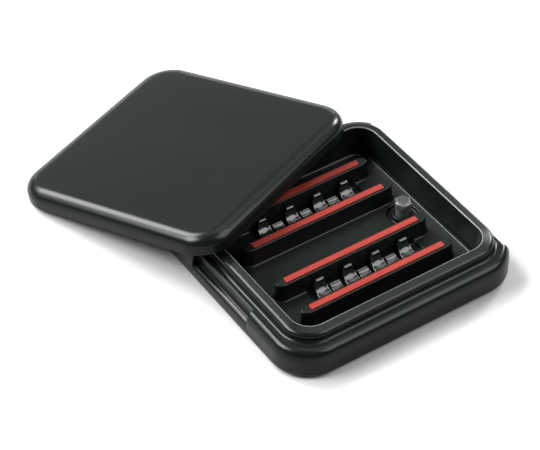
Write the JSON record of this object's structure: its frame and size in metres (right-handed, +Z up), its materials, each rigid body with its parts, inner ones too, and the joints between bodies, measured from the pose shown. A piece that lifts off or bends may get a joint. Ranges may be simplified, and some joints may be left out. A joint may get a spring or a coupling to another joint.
{
  "type": "precision screwdriver set case",
  "caption": "Low square moulded driver case, open and empty, with red grip strips, snap cradles for bits, a hexagon post and a loose lid leaning on its rim.",
  "frame": {"origin": "middle of the base's flat underside, where it stands on the table", "axes": "+Z up, +X along the grip strips towards the hexagon post, +Y towards the side where the lid leans"},
  "size_m": [0.1325, 0.172, 0.0269],
  "materials": {
    "case": "high gloss moulded black with a green-grey cast",
    "tray": "satin moulded black",
    "clip": "semi-gloss moulded dark grey",
    "grip": "matte red soft strip",
    "post": "black oxide steel",
    "liner": "matte dark foam sheet",
    "screw": "plain zinc steel"
  },
  "bodies": {
    "case": {"base_shell": "case", "bottom_plate": "case", "bottom_screw_1": "screw", "bottom_screw_2": "screw", "bottom_screw_3": "screw", "bottom_screw_4": "screw", "tray_insert": "tray", "grip_strip_1": "grip", "grip_strip_2": "grip", "grip_strip_3": "grip", "grip_strip_4": "grip", "bit_clip_back_1": "clip", "bit_clip_back_2": "clip", "bit_clip_back_3": "clip", "bit_clip_back_4": "clip", "bit_saddle_back_1": "clip", "bit_saddle_back_2": "clip", "bit_saddle_back_3": "clip", "bit_clip_front_1": "clip", "bit_clip_front_2": "clip", "bit_clip_front_3": "clip", "bit_clip_front_4": "clip", "bit_saddle_front_1": "clip", "bit_saddle_front_2": "clip", "bit_saddle_front_3": "clip"},
    "lid": {"lid_shell": "case", "lid_liner": "liner"},
    "post": {"hex_post": "post"}
  },
  "joints": [
    {"name": "lid_tip", "type": "hinge", "parent": "case", "child": "lid", "pos_m": [-0.04139, 0.10866, 0], "axis": [-0.9326, -0.361, 0], "range_deg": [0, 78]},
    {"name": "post_lift", "type": "slide", "parent": "case", "child": "post", "axis": [0, 0, 1], "range_m": [0, 0.012]}
  ]
}
